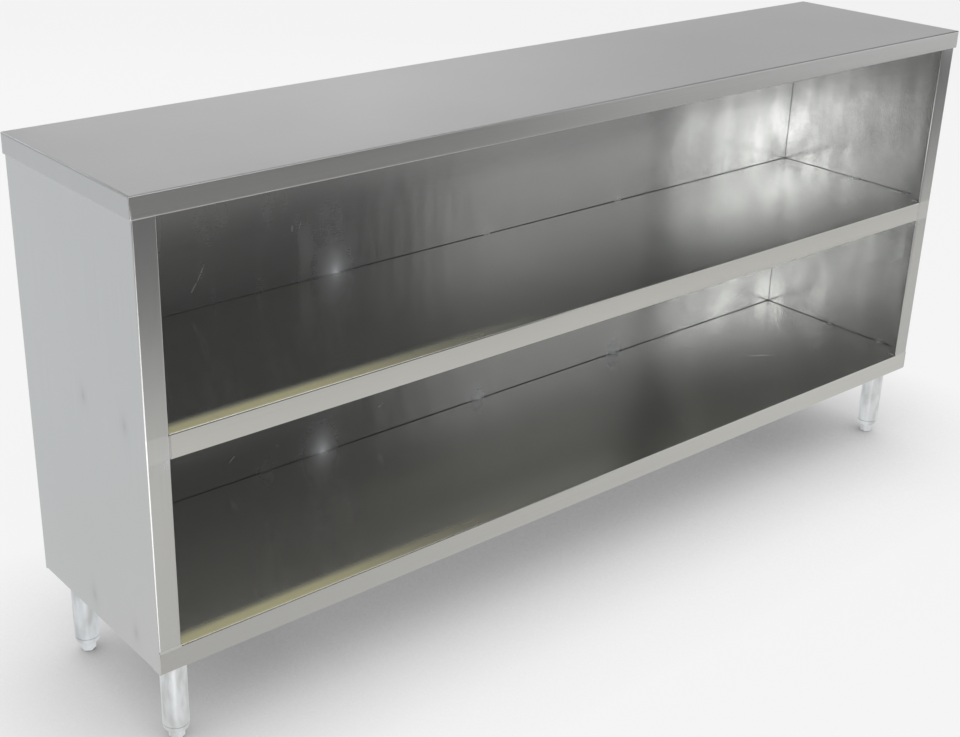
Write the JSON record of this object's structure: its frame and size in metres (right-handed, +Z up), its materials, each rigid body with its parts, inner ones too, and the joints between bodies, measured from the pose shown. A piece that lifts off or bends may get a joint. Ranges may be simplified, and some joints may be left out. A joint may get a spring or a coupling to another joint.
{
  "type": "dish storage cabinet",
  "caption": "Open-fronted stainless steel dish cabinet with a flat worktop, a middle shelf and a floor shelf, standing on round legs with adjustable bullet feet.",
  "frame": {"origin": "middle of the floor under the worktop, at the foot tips", "axes": "+X along the width to the right as seen from the front, +Y from the open front to the back, +Z up"},
  "size_m": [1.829, 0.381, 0.881],
  "materials": {
    "brushed_sheet": "satin brushed stainless sheet",
    "plain_sheet": "plain mill stainless sheet",
    "polished_tube": "polished stainless tube",
    "cast_steel": "dull cast steel"
  },
  "bodies": {
    "cabinet": {"worktop": "brushed_sheet", "worktop_channel": "plain_sheet", "top_front_rail": "plain_sheet", "side_panel_left": "brushed_sheet", "side_panel_right": "brushed_sheet", "back_panel": "brushed_sheet", "middle_shelf": "brushed_sheet", "middle_shelf_channel": "plain_sheet", "bottom_shelf": "brushed_sheet", "bottom_shelf_channel": "plain_sheet", "leg_channel_left": "plain_sheet", "leg_channel_right": "plain_sheet", "leg_socket_front_left": "cast_steel", "socket_screw_front_left": "cast_steel", "leg_tube_front_left": "polished_tube", "foot_insert_front_left": "cast_steel", "leg_socket_front_right": "cast_steel", "socket_screw_front_right": "cast_steel", "leg_tube_front_right": "polished_tube", "foot_insert_front_right": "cast_steel", "leg_socket_rear_left": "cast_steel", "socket_screw_rear_left": "cast_steel", "leg_tube_rear_left": "polished_tube", "foot_insert_rear_left": "cast_steel", "leg_socket_rear_right": "cast_steel", "socket_screw_rear_right": "cast_steel", "leg_tube_rear_right": "polished_tube", "foot_insert_rear_right": "cast_steel"},
    "screw_foot_front_left": {"foot_front_left": "polished_tube"},
    "screw_foot_front_right": {"foot_front_right": "polished_tube"},
    "screw_foot_rear_left": {"foot_rear_left": "polished_tube"},
    "screw_foot_rear_right": {"foot_rear_right": "polished_tube"}
  },
  "joints": [
    {"name": "foot_height_front_left", "type": "slide", "parent": "cabinet", "child": "screw_foot_front_left", "axis": [0, 0, -1], "range_m": [0, 0.025]},
    {"name": "foot_height_front_right", "type": "slide", "parent": "cabinet", "child": "screw_foot_front_right", "axis": [0, 0, -1], "range_m": [0, 0.025]},
    {"name": "foot_height_rear_left", "type": "slide", "parent": "cabinet", "child": "screw_foot_rear_left", "axis": [0, 0, -1], "range_m": [0, 0.025]},
    {"name": "foot_height_rear_right", "type": "slide", "parent": "cabinet", "child": "screw_foot_rear_right", "axis": [0, 0, -1], "range_m": [0, 0.025]}
  ]
}
